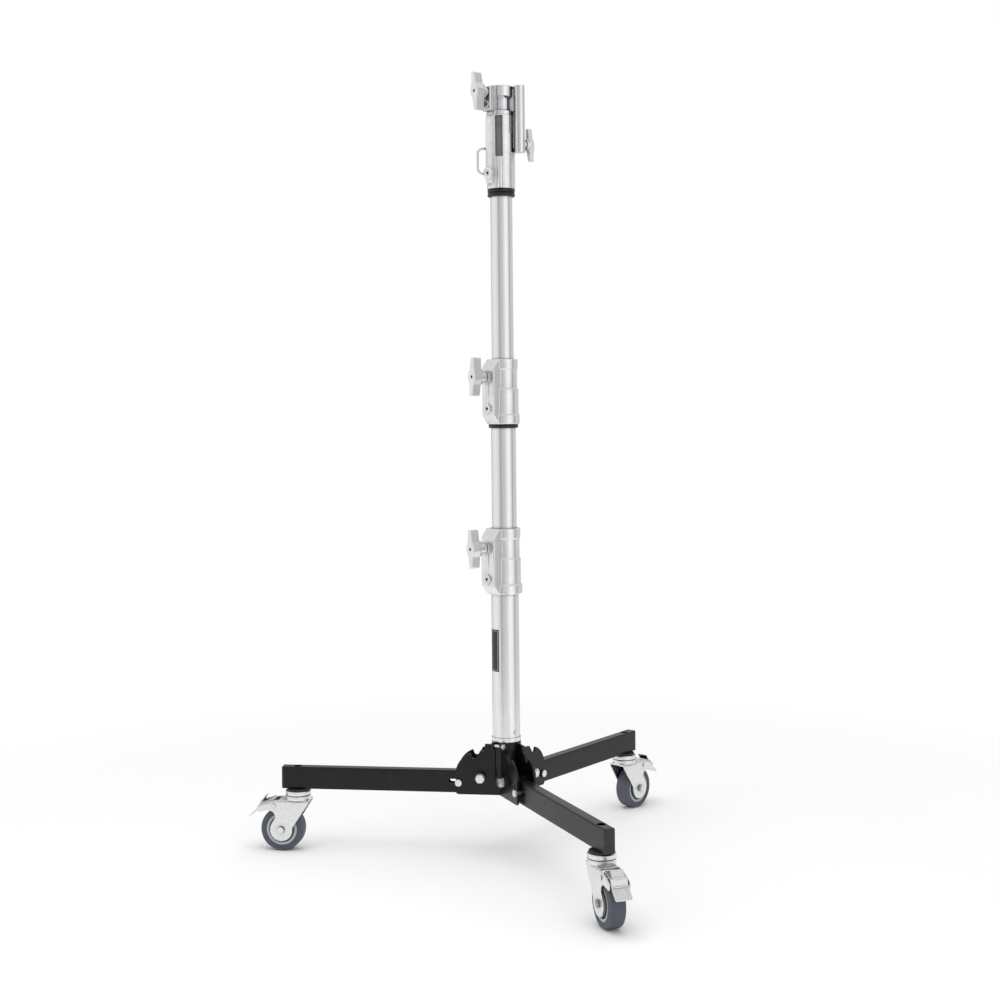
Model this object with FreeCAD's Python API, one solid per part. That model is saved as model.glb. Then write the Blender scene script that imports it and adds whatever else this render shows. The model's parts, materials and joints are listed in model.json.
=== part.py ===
"""Low rolling stand for studio backgrounds and lights.

A folding three-leg base on braked casters carries a column of three nested tubes. Each tube is
clamped by a T-handled screw in a cast collar, and the head holds a 28 mm and a 16 mm receiver.

Units are millimetres, +Z is up, and the origin is on the column's axis at floor level.
Each leg is modelled pointing along +X and then turned to its own direction.
"""
import FreeCAD, Part
import math
import os

Vector = FreeCAD.Vector

# --- Layout -------------------------------------------------------------------------------------
LEG_ANGLES = {"front": 270.0, "left": 150.0, "right": 30.0}
TRAIL_TURNS = {"front": -4.0, "left": -1.0, "right": -5.0}  # each caster's trail, from its leg
KNOB_ANGLE = 197.5  # direction of the collar bosses and their T-knobs
LUG_ANGLE = 210.0  # direction of the pinch lugs on the hub sleeve
SLIDE_GAP = 0.05  # radial clearance of a sliding or turning fit
SEAT_GAP = 0.02  # clearance between pieces that are fixed together

# --- Column tubes -------------------------------------------------------------------------------
BASE_R, BASE_BORE_R = 25.0, 23.1
MIDDLE_R, MIDDLE_BORE_R = 22.5, 20.6
UPPER_R, UPPER_BORE_R = 20.0, 18.1
SLEEVE_R = 26.5
SLEEVE_BOTTOM, SLEEVE_TOP = 114.0, 211.0
TAPER_TOP, TAPER_FOOT_R, TAPER_BORE_R = 146.0, 21.0, 17.0  # the sleeve narrows below the tube's end
LUG_BOTTOM, LUG_ROOT, LUG_REACH = 199.4, 21.0, 36.0
LUG_SPANS = ((-7.0, -3.5), (11.0, 14.5))  # the two lugs, across the slit
PINCH_X, PINCH_Z, PINCH_R = 31.5, 205.3, 2.5
SLIT_HALF_WIDTH = 1.0
RIM_TOP = 218.0
TUBE_SCREW_ANGLE, TUBE_SCREW_Z, TUBE_SCREW_R = 287.0, 228.0, 2.0
BASE_COLLAR_BOTTOM, BASE_COLLAR_TOP = 478.0, 597.0
MIDDLE_COLLAR_BOTTOM, MIDDLE_COLLAR_TOP = 786.0, 904.0
BASE_FOOT, MIDDLE_FOOT, UPPER_FOOT = 148.0, 337.0, 633.0  # lower tube ends at the rest height
FOOT_RING_HEIGHT = 6.0
BUSH_HEIGHT = 50.0

# --- Collars: (ring, body, neck, cap) radii ------------------------------------------------------
BASE_COLLAR_RADII = (31.6, 29.2, 27.2, 28.8)
MIDDLE_COLLAR_RADII = (29.7, 28.0, 25.5, 27.0)
BASE_BOSS_FRONT, BASE_BOSS_HALF_WIDTH = 40.4, 18.0
MIDDLE_BOSS_FRONT, MIDDLE_BOSS_HALF_WIDTH = 36.4, 16.5
BASE_KNOB_Z, MIDDLE_KNOB_Z = 563.0, 872.0
RING_HEIGHT, CAP_HEIGHT = 16.0, 17.0
SHOULDER = 3.0  # height of the cone between two collar diameters
BOSS_CHAMFER_DEPTH, BOSS_CHAMFER_HEIGHT = 12.0, 16.0
BOSS_PROUD = 3.0
KNOB_BOSS_R = 10.5
SCREW_BOSS_R, SET_SCREW_R, SET_SCREW_LENGTH = 9.0, 5.5, 12.0
SET_SCREW_ABOVE_BOTTOM = 28.5
COLLAR_LIP = 4.0  # height of the collar above its bush
RIB_R = 8.0
RUBBER_RING_HEIGHT, RUBBER_EDGE_R = 7.0, 2.4

# --- T-knobs: the wing's front face stands at a given distance from the column's axis --------------
KNOB_SCREW_R = 4.0
WING_LENGTH, WING_DEPTH = 69.0, 18.0
WING_TIP_HALF, WING_NECK_HALF, WING_MIDDLE_HALF = 3.6, 5.4, 9.6
KNOB_HUB_R, KNOB_WEB_HALF = 9.2, 15.5
KNOB_GAP = 0.8
KNOB_HOLE_R, KNOB_HOLE_DEPTH = 2.5, 6.0
BASE_WING_FRONT, MIDDLE_WING_FRONT, HEAD_WING_FRONT = 81.0, 74.0, 62.0
SIDE_KNOB_SCALE = 0.88

# --- Head ---------------------------------------------------------------------------------------
HEAD_BOTTOM, HEAD_STEP, HEAD_TOP = 1213.5, 1278.0, 1346.5
HEAD_LOWER_R, HEAD_UPPER_R = 25.6, 26.6
HEAD_BORE_R = 22.5
HEAD_BOSS_FRONT, HEAD_BOSS_HALF_WIDTH = 30.0, 8.5
HEAD_SCREW_Z, HEAD_SCREW_BOSS_R, SMALL_SCREW_Z, SMALL_SCREW_R = 1241.0, 11.7, 1221.0, 2.5
WINDOW_ANGLE, WINDOW_HALF_WIDTH = 240.0, 6.6
WINDOW_BOTTOM, WINDOW_TOP = 1271.0, 1344.5
HEAD_RIB_ANGLE, HEAD_RIB_R, HEAD_RIB_TOP = 244.0, 5.0, 1269.0
SLIT_ANGLE, SLIT_BOTTOM = 288.5, 1314.0
RECEIVER_TOP = 1399.5
RECEIVER_BORE_R, RECEIVER_DEPTH = 14.5, 50.0
RECEIVER_RING_R, RECEIVER_NECK_R = 25.6, 20.5
RECEIVER_RING_HEIGHT, FLANGE_HEIGHT = 19.0, 7.0
RECEIVER_BOSS_FRONT, RECEIVER_BOSS_HALF_WIDTH = 34.0, 11.0
RECEIVER_KNOB_Z, RECEIVER_SCREW_Z = 1386.5, 1365.0
SIDE_ANGLE, SIDE_R = -46.5, 37.5
SOCKET_R, SOCKET_BORE_R = 10.0, 8.1
SOCKET_BOTTOM, SOCKET_TOP = 1278.0, 1399.0
SOCKET_FLOOR = 3.0
SIDE_PAD_R, SIDE_PAD_PROUD = 7.0, 2.0
SIDE_KNOB_Z, SIDE_KNOB_ANGLE, SIDE_WING_FRONT = 1293.0, 12.5, 27.0
WEB_HALF_WIDTH = 4.0
LOOP_ANGLE, LOOP_REACH, LOOP_ROD_R, LOOP_BEND_R = 172.5, 43.6, 2.2, 10.0
LOOP_BOTTOM, LOOP_TOP = 1241.0, 1287.0
LOOP_SEAT_R = 23.4  # the rod's ends stop just outside the casting's bore

# --- Legs and hub ears ---------------------------------------------------------------------------
LEG_HALF_WIDTH, LEG_BOTTOM, LEG_TOP = 10.0, 114.5, 155.0
LEG_WALL, LEG_CORNER_R = 2.0, 2.5
LEG_INNER_END, LEG_OUTER_END = 34.0, 416.0
CAP_THICKNESS = 3.0
PLUG_LENGTH = 10.0
EAR_INNER, EAR_THICKNESS = 14.5, 4.0
EAR_OUTER = EAR_INNER + EAR_THICKNESS
EAR_REACH, EAR_ROOT = 91.0, 10.8  # neighbouring ears meet at the root, below the sleeve's taper
PIVOT_X, PIVOT_Z, PIVOT_R = 45.0, 146.0, 5.0
NOTCH_X, NOTCH_Z, NOTCH_R = 57.3, 184.5, 5.2  # where the pin drops in when the leg is folded up
EAR_TIP_X, EAR_TIP_Z, EAR_STEP_Z, EAR_TOP_Z = 64.1, 188.5, 193.5, 206.0
SPACER_END, PIVOT_SPACER_R = 27.0, 8.0
WASHER_R, WASHER_THICKNESS, BOLT_HEAD_R = 8.6, 1.2, 8.4
LOCK_X, LOCK_Z, LOCK_R = 86.0, 135.2, 4.0
LOCK_TRAVEL = 15.0
LOCK_HEAD_R, LOCK_HEAD_THICKNESS, LOCK_HEAD_GAP = 6.5, 4.0, 0.7
SLOT_HALF_HEIGHT = LOCK_R + 0.3

# --- Casters: x is the distance behind the swivel axis ---------------------------------------------
CASTER_X = 390.5
TRAIL, AXLE_Z, WHEEL_R = 28.5, 40.0, 40.0
TYRE_HALF_WIDTH, TYRE_INNER_R, TYRE_SHOULDER_R = 14.0, 29.0, 4.5
RIM_INNER_R, GUARD_R = 24.3, 21.4
HUB_R, HUB_HALF_WIDTH, WEB_THICKNESS = 11.0, 13.4, 7.0
AXLE_R, AXLE_NUT_R = 4.0, 6.6
FORK_INNER, FORK_THICKNESS, FORK_SHOULDER_R = 16.0, 2.5, 4.0
FORK_OUTER = FORK_INNER + FORK_THICKNESS
LOBE_R = 21.0
CROWN_THICKNESS, CROWN_TAIL = 3.2, 34.0
RACE_R, RACE_BOTTOM, RACE_SPLIT, RACE_TOP, RACE_RIM = 23.5, 95.0, 102.5, 111.0, 1.6
STEM_R, STEM_NUT_R, SPACER_R = 6.0, 7.6, 20.5
PEDAL_HALF_WIDTH, UPPER_TAB_HALF_WIDTH, PEDAL_THICKNESS = 14.5, 10.7, 2.0
PEDAL_PIVOT, RIVET_R, RIVET_HEAD_R, PEDAL_BARREL_R = (42.0, 84.0), 2.0, 3.6, 4.0


# --- Shape helpers --------------------------------------------------------------------------------
def cylinder(radius, start, end):
    """Round bar from one point to another."""
    along = Vector(*end) - Vector(*start)
    return Part.makeCylinder(radius, along.Length, Vector(*start), along)


def cone(radius_start, radius_end, start, end):
    """Cone whose radius changes from one point to another."""
    along = Vector(*end) - Vector(*start)
    return Part.makeCone(radius_start, radius_end, along.Length, Vector(*start), along)


def hexagon(radius, start, end):
    """Hexagonal bar along X or Y, given by its corner radius."""
    along = Vector(*end) - Vector(*start)
    points = []
    for step in range(7):
        turn = math.radians(60.0 * step)
        side, up = radius * math.cos(turn), radius * math.sin(turn)
        across = Vector(0, side, up) if abs(along.x) > abs(along.y) else Vector(side, 0, up)
        points.append(Vector(*start) + across)
    return Part.Face(Part.makePolygon(points)).extrude(along)


def ring(outer, inner, bottom, top):
    """Tube about Z."""
    return cylinder(outer, (0, 0, bottom), (0, 0, top)).cut(
        cylinder(inner, (0, 0, bottom - 1), (0, 0, top + 1))
    )


def box(low, high):
    """Block between two opposite corners."""
    size = Vector(*high) - Vector(*low)
    return Part.makeBox(size.x, size.y, size.z, Vector(*low))


def revolved(points):
    """Solid of revolution about Z from (radius, z) points."""
    corners = [Vector(r, 0, z) for r, z in points]
    face = Part.Face(Part.makePolygon(corners + corners[:1]))
    return face.revolve(Vector(0, 0, 0), Vector(0, 0, 1), 360)


def arc(start, middle, end):
    """Arc through three (x, z) points, for a side_plate path."""
    return ("arc", start, middle, end)


def side_plate(path, low_y, high_y):
    """Plate standing in the XZ plane. The path mixes (x, z) corners and arcs."""
    edges, last = [], None
    for item in list(path) + [path[0]]:
        start = item[1] if item[0] == "arc" else item
        here = Vector(start[0], low_y, start[1])
        if last is not None and last.distanceToPoint(here) > 1e-6:
            edges.append(Part.LineSegment(last, here).toShape())
        last = here
        if item[0] == "arc" and (item is not path[0] or not edges):
            middle = Vector(item[2][0], low_y, item[2][1])
            last = Vector(item[3][0], low_y, item[3][1])
            edges.append(Part.Arc(here, middle, last).toShape())
    wire = Part.Wire(Part.__sortEdges__(edges))
    return Part.Face(wire).extrude(Vector(0, high_y - low_y, 0))


def strip(points, thickness, half_width):
    """Sheet bent along (x, z) points, with rounded bends."""
    pieces = []
    for (x0, z0), (x1, z1) in zip(points, points[1:]):
        angle = math.degrees(math.atan2(z1 - z0, x1 - x0))
        length = math.hypot(x1 - x0, z1 - z0)
        sheet = box((0, -half_width, -thickness / 2), (length, half_width, thickness / 2))
        sheet.rotate(Vector(0, 0, 0), Vector(0, 1, 0), -angle)
        sheet.translate(Vector(x0, 0, z0))
        pieces.append(sheet)
        pieces.append(cylinder(thickness / 2, (x1, -half_width, z1), (x1, half_width, z1)))
    return joined(pieces)


def joined(pieces):
    """One solid from pieces that touch or overlap."""
    return pieces[0].multiFuse(pieces[1:]).removeSplitter()


def turned(shape, angle, x=0.0):
    """Copy of a shape moved out along X and then turned about the column's axis."""
    copy = shape.copy()
    copy.translate(Vector(x, 0, 0))
    copy.rotate(Vector(0, 0, 0), Vector(0, 0, 1), angle)
    return copy


def on_lines(shape, test, radius):
    """Round the straight or curved edges whose bounding box passes a test."""
    edges = [edge for edge in shape.Edges if test(edge.BoundBox)]
    return shape.makeFillet(radius, edges)


# --- Hub ------------------------------------------------------------------------------------------
def sleeve_outside(gap=0.0):
    """Sleeve that narrows below the tube's end, until the ears meet each other at its foot."""
    return revolved(
        [
            (0, SLEEVE_BOTTOM),
            (TAPER_FOOT_R + gap, SLEEVE_BOTTOM),
            (SLEEVE_R + gap, TAPER_TOP),
            (SLEEVE_R + gap, SLEEVE_TOP),
            (0, SLEEVE_TOP),
        ]
    )


def hub_sleeve():
    """Steel sleeve that the ears are welded to, slit and pinched round the base tube."""
    lugs = [
        box((LUG_ROOT, low, LUG_BOTTOM), (LUG_REACH, high, SLEEVE_TOP - 0.5)) for low, high in LUG_SPANS
    ]
    bore = cylinder(BASE_R + SEAT_GAP, (0, 0, BASE_FOOT), (0, 0, SLEEVE_TOP + 1))
    foot_bore = cylinder(TAPER_BORE_R, (0, 0, 0), (0, 0, BASE_FOOT + 1))
    slit = box((BASE_R - 2, -SLIT_HALF_WIDTH, LUG_BOTTOM - 9), (LUG_REACH, SLIT_HALF_WIDTH, SLEEVE_TOP + 1))
    first_y, last_y = LUG_SPANS[0][0] - 2, LUG_SPANS[1][1] + 2
    screw_hole = cylinder(PINCH_R + 0.2, (PINCH_X, first_y, PINCH_Z), (PINCH_X, last_y, PINCH_Z))
    sleeve = joined([sleeve_outside()] + [turned(lug, LUG_ANGLE) for lug in lugs])
    for opening in (bore, foot_bore, turned(slit, LUG_ANGLE), turned(screw_hole, LUG_ANGLE)):
        sleeve = sleeve.cut(opening)
    return sleeve


def ear_outline(side):
    """Quadrant plate: a flat foot, a rounded outer edge, the fold notch and the steps at its root.

    The plate on the pinch screw's side stays low at its root, to leave room for the screw.
    """
    left, right = NOTCH_X - NOTCH_R, NOTCH_X + NOTCH_R
    path = [
        (EAR_ROOT, SLEEVE_BOTTOM),
        (EAR_REACH - 3, SLEEVE_BOTTOM),
        (EAR_REACH, SLEEVE_BOTTOM + 3),
        arc((EAR_REACH, 158.0), (80.0, 178.5), (EAR_TIP_X, EAR_TIP_Z)),
        arc((right, NOTCH_Z), (NOTCH_X, NOTCH_Z - NOTCH_R), (left, NOTCH_Z)),
        (48.7, EAR_STEP_Z - 5.5),
        (46.0, EAR_STEP_Z - 0.5),
        (38.5, EAR_STEP_Z),
    ]
    if side > 0:
        path += [(37.0, EAR_TOP_Z), (EAR_ROOT, EAR_TOP_Z)]
    else:
        path += [(EAR_ROOT, EAR_STEP_Z)]
    return path


def ear_plate(side):
    """One of a leg's two ears, with the pivot's hole, the pin's latch and the weld line."""
    low, high = sorted((side * EAR_INNER, side * EAR_OUTER))
    plate = side_plate(ear_outline(side), low, high)
    pivot_hole = cylinder(PIVOT_R + SEAT_GAP, (PIVOT_X, low - 1, PIVOT_Z), (PIVOT_X, high + 1, PIVOT_Z))
    latch = side_plate(
        [
            (EAR_REACH + 2, LOCK_Z - SLOT_HALF_HEIGHT),
            (EAR_REACH + 2, LOCK_Z + SLOT_HALF_HEIGHT),
            arc(
                (LOCK_X, LOCK_Z + SLOT_HALF_HEIGHT),
                (LOCK_X - SLOT_HALF_HEIGHT, LOCK_Z),
                (LOCK_X, LOCK_Z - SLOT_HALF_HEIGHT),
            ),
        ],
        low - 1,
        high + 1,
    )
    return plate.cut(pivot_hole).cut(latch).cut(sleeve_outside(SEAT_GAP))


def pivot_bolt():
    """Hex bolt with washers and a locknut, across one pair of ears."""
    head_thickness, nut_thickness = 6.4, 7.0
    shank_end = SPACER_END + WASHER_THICKNESS + nut_thickness + 1
    pieces = [cylinder(PIVOT_R, (PIVOT_X, -shank_end, PIVOT_Z), (PIVOT_X, SPACER_END + 2, PIVOT_Z))]
    for side, thickness in ((1, head_thickness), (-1, nut_thickness)):
        seat = side * (SPACER_END + SEAT_GAP)
        washer = seat + side * WASHER_THICKNESS
        outside = washer + side * thickness
        pieces.append(cylinder(WASHER_R, (PIVOT_X, seat, PIVOT_Z), (PIVOT_X, washer, PIVOT_Z)))
        pieces.append(hexagon(BOLT_HEAD_R, (PIVOT_X, washer, PIVOT_Z), (PIVOT_X, outside, PIVOT_Z)))
    return joined(pieces)


def pivot_spacers():
    """Black spacers on one pivot bolt: a pair beside the leg and a pair outside the ears."""
    inside = (LEG_HALF_WIDTH + SLIDE_GAP, EAR_INNER - SEAT_GAP)
    outside = (EAR_OUTER + SEAT_GAP, SPACER_END)
    spacers = []
    for side in (1, -1):
        for start, end in (inside, outside):
            place = [(PIVOT_X, side * y, PIVOT_Z) for y in (start, end)]
            spacers.append(cylinder(PIVOT_SPACER_R, *place).cut(cylinder(PIVOT_R + SEAT_GAP, *place)))
    return spacers


def base_screws():
    """Pinch screw of the hub lugs, the small tube screw and the collar's set screw."""
    head_r, head_thickness = 4.9, 4.6
    small_head_r, small_face_r, small_thickness = 3.8, 2.8, 1.6
    first_y, seat = LUG_SPANS[0][0] + 1, LUG_SPANS[1][1] + SEAT_GAP
    pinch = joined(
        [
            cylinder(PINCH_R, (PINCH_X, first_y, PINCH_Z), (PINCH_X, seat + 1, PINCH_Z)),
            hexagon(head_r, (PINCH_X, seat, PINCH_Z), (PINCH_X, seat + head_thickness, PINCH_Z)),
        ]
    )
    z, face = TUBE_SCREW_Z, BASE_R + SEAT_GAP
    small_head = cone(small_head_r, small_face_r, (face, 0, z), (face + small_thickness, 0, z))
    small = joined([cylinder(TUBE_SCREW_R, (BASE_BORE_R, 0, z), (face + 1, 0, z)), small_head])
    socket = set_screw(BASE_BOSS_FRONT + BOSS_PROUD, BASE_COLLAR_BOTTOM + SET_SCREW_ABOVE_BOTTOM)
    return [turned(pinch, LUG_ANGLE), turned(small, TUBE_SCREW_ANGLE), turned(socket, KNOB_ANGLE)]


def set_screw(front, z, radius=SET_SCREW_R, length=SET_SCREW_LENGTH):
    """Socket set screw whose face is just inside its boss."""
    face = front - 0.6
    screw = cylinder(radius, (front - length, 0, z), (face, 0, z))
    return screw.cut(hexagon(0.56 * radius, (face - 5, 0, z), (face + 1, 0, z)))


# --- Column ---------------------------------------------------------------------------------------
def collar_sections(bottom, top, radii):
    """Outside of a cast collar: base ring, body, neck and cap."""
    ring_r, body_r, neck_r, cap_r = radii
    waist = bottom + 0.56 * (top - bottom)
    return revolved(
        [
            (0, bottom),
            (ring_r - 1.5, bottom),
            (ring_r, bottom + 1.5),
            (ring_r, bottom + RING_HEIGHT),
            (body_r, bottom + RING_HEIGHT + SHOULDER),
            (body_r, waist - SHOULDER),
            (neck_r, waist),
            (neck_r, top - CAP_HEIGHT - SHOULDER),
            (cap_r, top - CAP_HEIGHT),
            (cap_r, top - 1),
            (cap_r - 1, top),
            (0, top),
        ]
    )


def base_tube():
    """Lower tube, with the hole of its small screw."""
    tube = ring(BASE_R, BASE_BORE_R, BASE_FOOT, BASE_COLLAR_TOP - BUSH_HEIGHT - SEAT_GAP)
    hole = cylinder(TUBE_SCREW_R + SEAT_GAP, (20, 0, TUBE_SCREW_Z), (30, 0, TUBE_SCREW_Z))
    return tube.cut(turned(hole, TUBE_SCREW_ANGLE))


def collar_boss(bottom, top, front, half_width, knob_z, screw_z):
    """Chamfered block with the knob's boss, the set screw's boss and the rib between them."""
    back = front - BOSS_CHAMFER_DEPTH
    low, high = bottom + BOSS_CHAMFER_HEIGHT, top - BOSS_CHAMFER_HEIGHT
    block = side_plate(
        [(0, bottom), (back, bottom), (front, low), (front, high), (back, top), (0, top)],
        -half_width,
        half_width,
    )
    block = on_lines(block, lambda b: b.ZLength > 10 and b.XMin > back - 1, 1.5)
    rib_x = front + 0.5 * BOSS_PROUD - RIB_R
    return [
        block,
        cylinder(KNOB_BOSS_R, (0, 0, knob_z), (front + 2 * BOSS_PROUD, 0, knob_z)),
        cylinder(SCREW_BOSS_R, (0, 0, screw_z), (front + BOSS_PROUD, 0, screw_z)),
        cylinder(RIB_R, (rib_x, 0, screw_z), (rib_x, 0, knob_z)),
    ]


def collar(bottom, top, radii, front, half_width, tube_r, riser_r, knob_z):
    """Cast collar on a tube's upper end, bored for the tube, its bush and its screws."""
    screw_z = bottom + SET_SCREW_ABOVE_BOTTOM
    screw_start = front + BOSS_PROUD - SET_SCREW_LENGTH - SEAT_GAP
    body = joined(
        [collar_sections(bottom, top, radii)] + collar_boss(bottom, top, front, half_width, knob_z, screw_z)
    )
    bores = [
        cylinder(tube_r + SEAT_GAP, (0, 0, bottom - 1), (0, 0, top - COLLAR_LIP)),
        cylinder(riser_r + 1.0, (0, 0, top - COLLAR_LIP - 1), (0, 0, top + 1)),
        cylinder(KNOB_SCREW_R + SLIDE_GAP, (0, 0, knob_z), (front + 20, 0, knob_z)),
        cylinder(SET_SCREW_R + SEAT_GAP, (screw_start, 0, screw_z), (front + 9, 0, screw_z)),
    ]
    for bore in bores:
        body = body.cut(bore)
    return turned(body, KNOB_ANGLE)


def clamp_bush(riser_r, outer_r, top, knob_z):
    """Plastic liner above the tube's end, with a hole that the clamp screw reaches through."""
    liner = ring(outer_r, riser_r + SLIDE_GAP, top - BUSH_HEIGHT, top - COLLAR_LIP - SEAT_GAP)
    hole = cylinder(KNOB_SCREW_R + 1.0, (0, 0, knob_z), (outer_r + 5, 0, knob_z))
    return liner.cut(turned(hole, KNOB_ANGLE))


def wing_outline(scale):
    """One side of the diamond-shaped wing, from its lower tip to its upper tip, as (y, z)."""
    half = WING_LENGTH * scale / 2
    corner = 1.5 * scale
    tip, neck, middle = WING_TIP_HALF * scale, WING_NECK_HALF * scale, WING_MIDDLE_HALF * scale
    lower = [(tip - corner, -half), (tip, corner - half), (neck, -0.42 * half), (middle, -0.1 * half)]
    return lower + [(y, -z) for y, z in reversed(lower)]


def t_knob(face, wing_front, z, tip, angle, scale=1.0, depth=WING_DEPTH, tilt=0.0):
    """Cast T-handle on a steel screw. Its hub starts just clear of the boss face."""
    hub_start = face + KNOB_GAP
    wing_back = wing_front - depth
    right_side = wing_outline(scale)
    left_side = [(-y, rise) for y, rise in reversed(right_side)]
    corners = [Vector(wing_back, y, rise) for y, rise in right_side + left_side]
    wing = Part.Face(Part.makePolygon(corners + corners[:1])).extrude(Vector(depth, 0, 0))
    hub_r, web = KNOB_HUB_R * scale, KNOB_WEB_HALF * scale
    hub_end = wing_back + 0.6 * depth
    hub = cone(hub_r, WING_MIDDLE_HALF * scale, (hub_start, 0, 0), (hub_end, 0, 0))
    bend = (0.5 * (hub_start + wing_back), 1.15 * hub_r)
    foot, top = (hub_start + 1, 0.8 * hub_r), (wing_back + 1, web)
    web_plate = side_plate(
        [
            arc(foot, bend, top),
            arc((top[0], -top[1]), (bend[0], -bend[1]), (foot[0], -foot[1])),
        ],
        -WING_NECK_HALF * scale,
        WING_NECK_HALF * scale,
    )
    hole = cylinder(KNOB_HOLE_R * scale, (wing_front - KNOB_HOLE_DEPTH, 0, 0), (wing_front + 1, 0, 0))
    screw = cylinder(KNOB_SCREW_R * scale, (tip, 0, 0), (hub_start + 1, 0, 0))
    knob = joined([wing, hub, web_plate, screw]).cut(hole)
    knob.rotate(Vector(0, 0, 0), Vector(1, 0, 0), tilt)
    knob.translate(Vector(0, 0, z))
    return turned(knob, angle)


def foot_ring(outer_r, inner_r, top):
    """Plastic guide ring under a riser's lower end."""
    return ring(outer_r, inner_r, top - FOOT_RING_HEIGHT, top)


def rubber_ring(inner_r, outer_r, bottom, top):
    """Rubber ring with a rounded outer edge."""
    band = ring(outer_r, inner_r, bottom, top)
    return on_lines(band, lambda b: b.ZLength < 0.1 and b.XLength > 2 * inner_r + 1, RUBBER_EDGE_R)


# --- Head -----------------------------------------------------------------------------------------
def head_block():
    """Upright block of the head, on the knobs' side."""
    low, high = HEAD_BOTTOM + 8, HEAD_TOP
    block = side_plate(
        [
            (0, low),
            (HEAD_BOSS_FRONT - 3, low),
            (HEAD_BOSS_FRONT, low + 6),
            (HEAD_BOSS_FRONT, high - 8),
            (HEAD_BOSS_FRONT - 4, high),
            (0, high),
        ],
        -HEAD_BOSS_HALF_WIDTH,
        HEAD_BOSS_HALF_WIDTH,
    )
    return on_lines(block, lambda b: b.ZLength > 40 and b.XMin > 20, 2.0)


def head_openings():
    """What is cut from the casting: the window, the pinch slit, the screw holes and the rod's holes."""
    far = SIDE_R
    window = box((15, -WINDOW_HALF_WIDTH, WINDOW_BOTTOM), (far, WINDOW_HALF_WIDTH, WINDOW_TOP))
    slit = box((HEAD_BORE_R - 2, -SLIT_HALF_WIDTH, SLIT_BOTTOM), (far, SLIT_HALF_WIDTH, HEAD_TOP + 1))
    openings = [turned(window, WINDOW_ANGLE), turned(slit, SLIT_ANGLE)]
    for radius, z in ((SET_SCREW_R, HEAD_SCREW_Z), (SMALL_SCREW_R, SMALL_SCREW_Z)):
        hole = cylinder(radius + SEAT_GAP, (HEAD_BORE_R - 5, 0, z), (far, 0, z))
        openings.append(turned(hole, KNOB_ANGLE))
    for z in (LOOP_BOTTOM, LOOP_TOP):
        hole = cylinder(LOOP_ROD_R + SEAT_GAP, (LOOP_SEAT_R - SEAT_GAP, 0, z), (far, 0, z))
        openings.append(turned(hole, LOOP_ANGLE))
    return openings


def socket_web(bottom, top):
    """Plate that joins the head to the side socket, and the socket's seat in it."""
    web = box((18, -WEB_HALF_WIDTH, bottom), (SIDE_R - SOCKET_R + 2, WEB_HALF_WIDTH, top))
    seat = cylinder(SOCKET_R + SEAT_GAP, (SIDE_R, 0, SOCKET_BOTTOM - 1), (SIDE_R, 0, SOCKET_TOP + 1))
    return turned(web, SIDE_ANGLE), turned(seat, SIDE_ANGLE)


def head_casting():
    """Head casting on the upper riser, with its block, screw boss, rib and socket web."""
    screw_boss = cylinder(HEAD_SCREW_BOSS_R, (0, 0, HEAD_SCREW_Z), (HEAD_BOSS_FRONT + 2.5, 0, HEAD_SCREW_Z))
    rib_x = HEAD_LOWER_R - 2
    rib = cylinder(HEAD_RIB_R, (rib_x, 0, HEAD_BOTTOM), (rib_x, 0, HEAD_RIB_TOP))
    web, socket_seat = socket_web(HEAD_STEP + 8, HEAD_TOP - 1)
    body = joined(
        [
            cylinder(HEAD_LOWER_R, (0, 0, HEAD_BOTTOM), (0, 0, HEAD_STEP)),
            cylinder(HEAD_UPPER_R, (0, 0, HEAD_STEP), (0, 0, HEAD_TOP)),
            turned(head_block(), KNOB_ANGLE),
            turned(screw_boss, KNOB_ANGLE),
            turned(rib, HEAD_RIB_ANGLE),
            web,
        ]
    )
    bore = cylinder(HEAD_BORE_R + SEAT_GAP, (0, 0, HEAD_BOTTOM - 1), (0, 0, HEAD_TOP + 1))
    for opening in [bore, socket_seat] + head_openings():
        body = body.cut(opening)
    return body


def head_screws():
    """Set screws of the head: one low, one small at the lip and one under the top knob."""
    low_front = HEAD_BOSS_FRONT + 2.5
    low = set_screw(low_front, HEAD_SCREW_Z, length=low_front - HEAD_BORE_R - 0.5)
    small_end = HEAD_LOWER_R + 0.5
    small = cylinder(SMALL_SCREW_R, (HEAD_BORE_R + 0.5, 0, SMALL_SCREW_Z), (small_end, 0, SMALL_SCREW_Z))
    high = set_screw(RECEIVER_BOSS_FRONT, RECEIVER_SCREW_Z)
    return [turned(screw, KNOB_ANGLE) for screw in (low, small, high)]


def receiver_body():
    """Outside of the receiver: a flange, a neck and the top ring."""
    bottom = HEAD_TOP + SEAT_GAP
    flange_top = HEAD_TOP + FLANGE_HEIGHT
    ring_bottom = RECEIVER_TOP - RECEIVER_RING_HEIGHT
    return revolved(
        [
            (0, bottom),
            (RECEIVER_RING_R, bottom),
            (RECEIVER_RING_R, flange_top),
            (RECEIVER_NECK_R, flange_top + 2),
            (RECEIVER_NECK_R, ring_bottom - 3),
            (RECEIVER_RING_R, ring_bottom),
            (RECEIVER_RING_R, RECEIVER_TOP - 1),
            (RECEIVER_RING_R - 1, RECEIVER_TOP),
            (0, RECEIVER_TOP),
        ]
    )


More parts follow.
